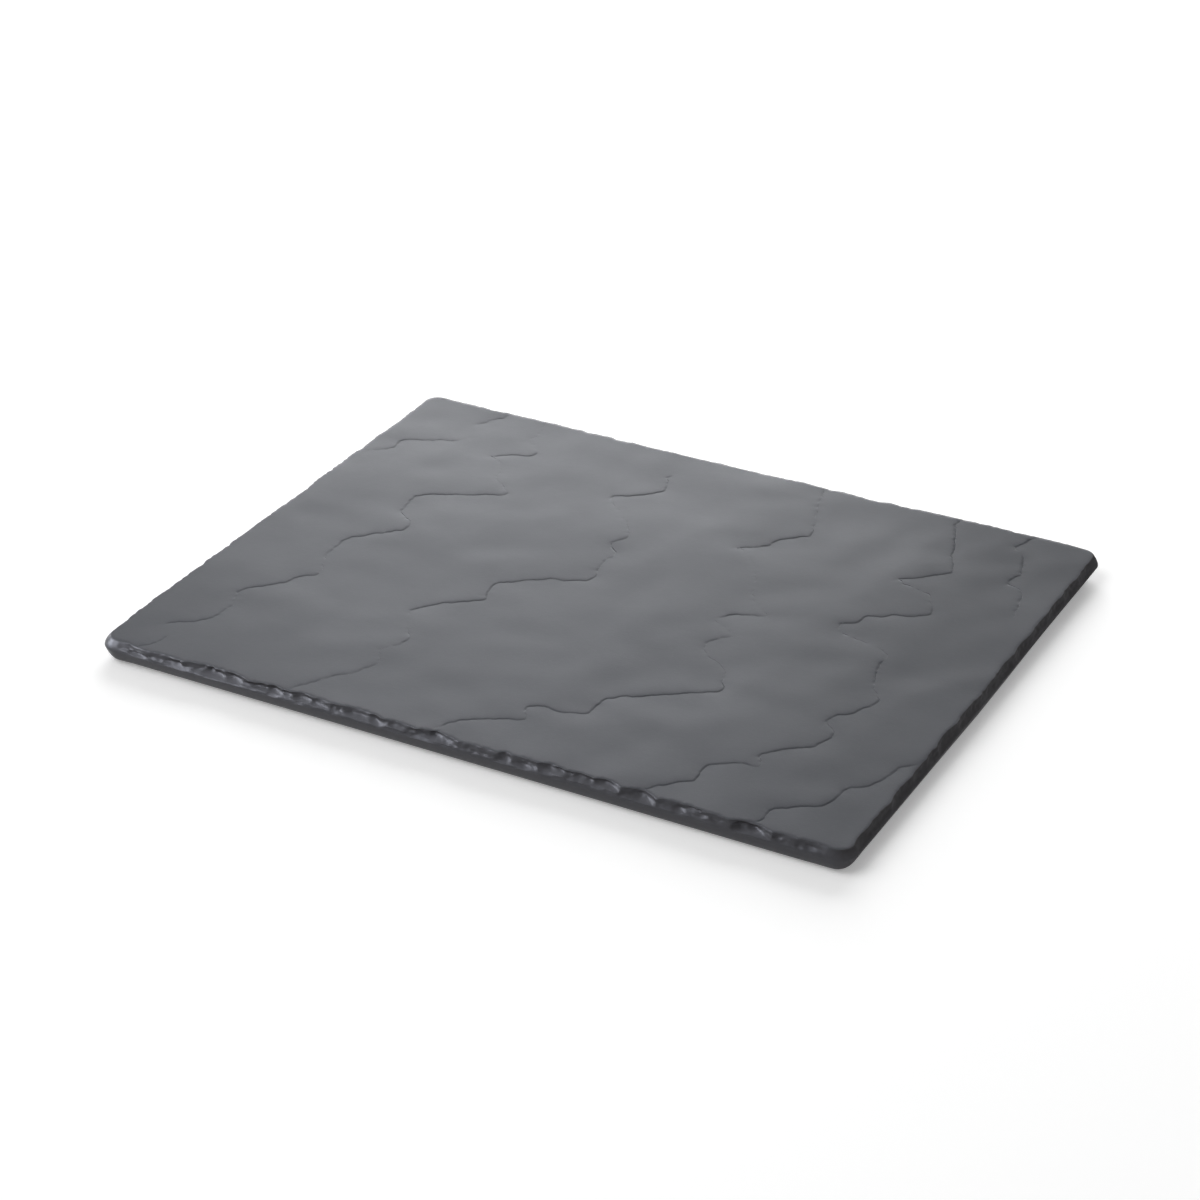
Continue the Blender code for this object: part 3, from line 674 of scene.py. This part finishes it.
# Foam tape discs: a die-cut disc of closed-cell foam, sticky on both faces.
# Each one holds a foot in its seat under the slab.
disc_sides = 64
disc_edge = 0.00006
foam, _, at = new_material("closed_cell_foam")
cells = at.node("ShaderNodeTexVoronoi", {"feature": "F1"}, {"Vector": at, "Scale": 3200.0})
mixed(cells, (0.66, 0.65, 0.61, 1.0), (0.46, 0.45, 0.41, 1.0)).to("Base Color")
(0.7 + 0.2 * cells).to("Roughness")
cells.node("ShaderNodeBump", {}, {"Strength": 0.5, "Distance": 0.0001, "Height": cells}).to("Normal")
for node in sorted(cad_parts):
    if not node.startswith("foot_tape"):
        continue
    low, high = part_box(node)
    middle = (low + high) / 2
    bpy.ops.object.select_all(action="DESELECT")
    bpy.ops.mesh.primitive_cylinder_add(
        vertices=disc_sides, radius=high.x - middle.x, depth=high.z - low.z, location=middle,
    )
    disc = bpy.context.object
    disc.name = node + "_disc"
    bpy.ops.object.transform_apply(location=True)
    shape = edit(disc)
    for edge in shape.edges:
        edge.select_set(abs(edge.verts[0].co.z - edge.verts[1].co.z) < 1e-6)
    bpy.ops.mesh.bevel(offset=disc_edge, segments=2)
    bpy.ops.object.mode_set(mode="OBJECT")
    bpy.ops.object.shade_smooth_by_angle(angle=math.radians(40))
    disc.data.materials.append(foam)
    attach(disc, "root")
    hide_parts(node)

# Rubber feet: four moulded bumpers that stand proud of the base and keep the slab off the table.
# Each is straight where it sits in its seat, tapers below, and has a rounded, lightly dished tread.
foot_sides = 72
rubber, _, at = new_material("moulded_foot_rubber")
dust = grain(at, 900, 4, 0.6)
scuff = grain(at, 160, 3)
mixed(0.6 * dust + 0.4 * scuff, (0.016, 0.016, 0.017, 1.0), (0.040, 0.040, 0.043, 1.0)).to("Base Color")
(0.62 + 0.25 * dust).to("Roughness")
dust.node("ShaderNodeBump", {}, {"Strength": 0.4, "Distance": 0.00008, "Height": dust}).to("Normal")
for node, place in foot_places.items():
    low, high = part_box(node)
    radius = high.x - place.x
    bpy.ops.object.select_all(action="DESELECT")
    bpy.ops.mesh.primitive_circle_add(
        vertices=foot_sides, radius=radius, fill_type="NGON", location=(place.x, place.y, high.z),
    )
    foot = bpy.context.object
    foot.name = node + "_bumper"
    bpy.ops.object.transform_apply(location=True)
    edit(foot)
    bpy.ops.mesh.select_all(action="SELECT")
    # Rings of the side: drop from the ring above, and share of its width
    for drop, share in (
        (high.z - base_z, 1.0), (base_z - 0.0003, 0.957), (0.00015, 0.994), (0.00011, 0.984),
        (0.00004, 0.976),
    ):
        bpy.ops.mesh.extrude_region_move(TRANSFORM_OT_translate={"value": (0, 0, -drop)})
        bpy.ops.transform.resize(value=(share, share, 1.0), center_override=(place.x, place.y, low.z))
    # Rings of the tread: width, and how far the dish rises
    for inset, lift in ((0.0012, 0.0), (0.0008, 0.00025), (0.0016, 0.00005)):
        bpy.ops.mesh.inset(thickness=inset)
        bpy.ops.transform.translate(value=(0, 0, lift))
    bpy.ops.mesh.select_all(action="SELECT")
    bpy.ops.mesh.normals_make_consistent(inside=False)
    bpy.ops.object.mode_set(mode="OBJECT")
    bpy.ops.object.shade_smooth_by_angle(angle=math.radians(40))
    foot.data.materials.append(rubber)
    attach(foot, "root")
    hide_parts(node)

# Studio: a plain white floor, soft lights mostly from the back left and a pale fill all round.
# The camera looks down on the front corner, as the photograph does.
scene = bpy.context.scene
scene.view_settings.view_transform = "Standard"
bpy.ops.object.select_all(action="DESELECT")
floor_size = 9.0
bpy.ops.mesh.primitive_plane_add(size=floor_size, location=(0, 0, 0))
floor = bpy.context.object
floor.name = "floor"
paper, paper_shader, at = new_material("white_paper_floor")
paper_shader.inputs["Roughness"].default_value = 0.9
paper_shader.inputs["Specular IOR Level"].default_value = 0.0
# The floor is whiter where it is seen, straight or in a reflection, than where it lights the slab
seen = at.node("ShaderNodeLightPath", {}, {}, "Is Camera Ray")
for ray in ("Is Glossy Ray", "Is Transmission Ray"):
    seen = at.maths("MAXIMUM", seen, at.node("ShaderNodeLightPath", {}, {}, ray))
mixed(seen, (0.65, 0.65, 0.65, 1.0), (0.95, 0.95, 0.95, 1.0)).to("Base Color")
mixed(seen, (0.0, 0.0, 0.0, 1.0), (0.265, 0.265, 0.265, 1.0)).to("Emission Color")
paper_shader.inputs["Emission Strength"].default_value = 1.0
floor.data.materials.append(paper)

world = bpy.data.worlds.new("studio")
scene.world = world
world.use_nodes = True
tree = world.node_tree
start = tree.nodes.new("ShaderNodeTexCoord")
direction = Wire(tree, start.outputs["Generated"])
sideways = direction.node("ShaderNodeSeparateXYZ", {}, {"Vector": direction}, "X")
from_left = sideways.maths("MAXIMUM", 0.0 - sideways, 0.0)
tree.links.new((0.24 + 0.16 * from_left).socket, tree.nodes["Background"].inputs["Strength"])
tree.nodes["Background"].inputs["Color"].default_value = (1.0, 1.0, 1.0, 1.0)

# Soft lights: name, place, width, height, watts, whether it lights, whether it shows in the sheen
for name, place, width, height, power, lights, shines in (
    ("back_softbox", (-0.753, 1.274, 0.28), 0.7, 0.30, 4.15, True, True),
    ("back_strip", (-0.33, 1.42, 0.28), 0.5, 0.30, 1.42, True, True),
    ("high_back_softbox", (-0.72, 1.15, 0.70), 0.5, 0.4, 1.03, True, True),
    ("left_softbox", (-0.90, 0.10, 1.10), 1.0, 1.0, 6.6, False, True),
    ("front_softbox", (-0.55, -0.70, 1.25), 1.1, 1.1, 9.0, True, False),
    ("back_fill", (-0.45, 1.40, 0.78), 1.6, 0.9, 19.0, True, False),
    ("low_left_softbox", (-1.20, 0.40, 0.25), 0.5, 0.30, 2.2, False, True),
    ("front_left_strip", (-0.60, -0.36, 0.27), 0.5, 0.3, 5.8, False, True),
):
    light = bpy.data.lights.new(name, "AREA")
    light.shape = "RECTANGLE"
    light.size = width
    light.size_y = height
    light.energy = power
    lamp = bpy.data.objects.new(name, light)
    lamp.location = place
    lamp.rotation_euler = (-lamp.location).to_track_quat("-Z", "Y").to_euler()
    lamp.visible_camera = False
    lamp.visible_diffuse = lights
    lamp.visible_glossy = shines
    scene.collection.objects.link(lamp)

lens_data = bpy.data.cameras.new("camera")
lens_data.sensor_width = 36.0
lens_data.lens = 90.80
camera = bpy.data.objects.new("camera", lens_data)
camera_nearness = 0.986
camera_aim = Vector((-0.4151, 0.7705, -0.4838))
camera.location = Vector((0.4403, -0.8268, 0.5149)) * camera_nearness + Vector((0, 0, top_z))
camera.rotation_euler = camera_aim.to_track_quat("-Z", "Y").to_euler()
scene.collection.objects.link(camera)
scene.camera = camera
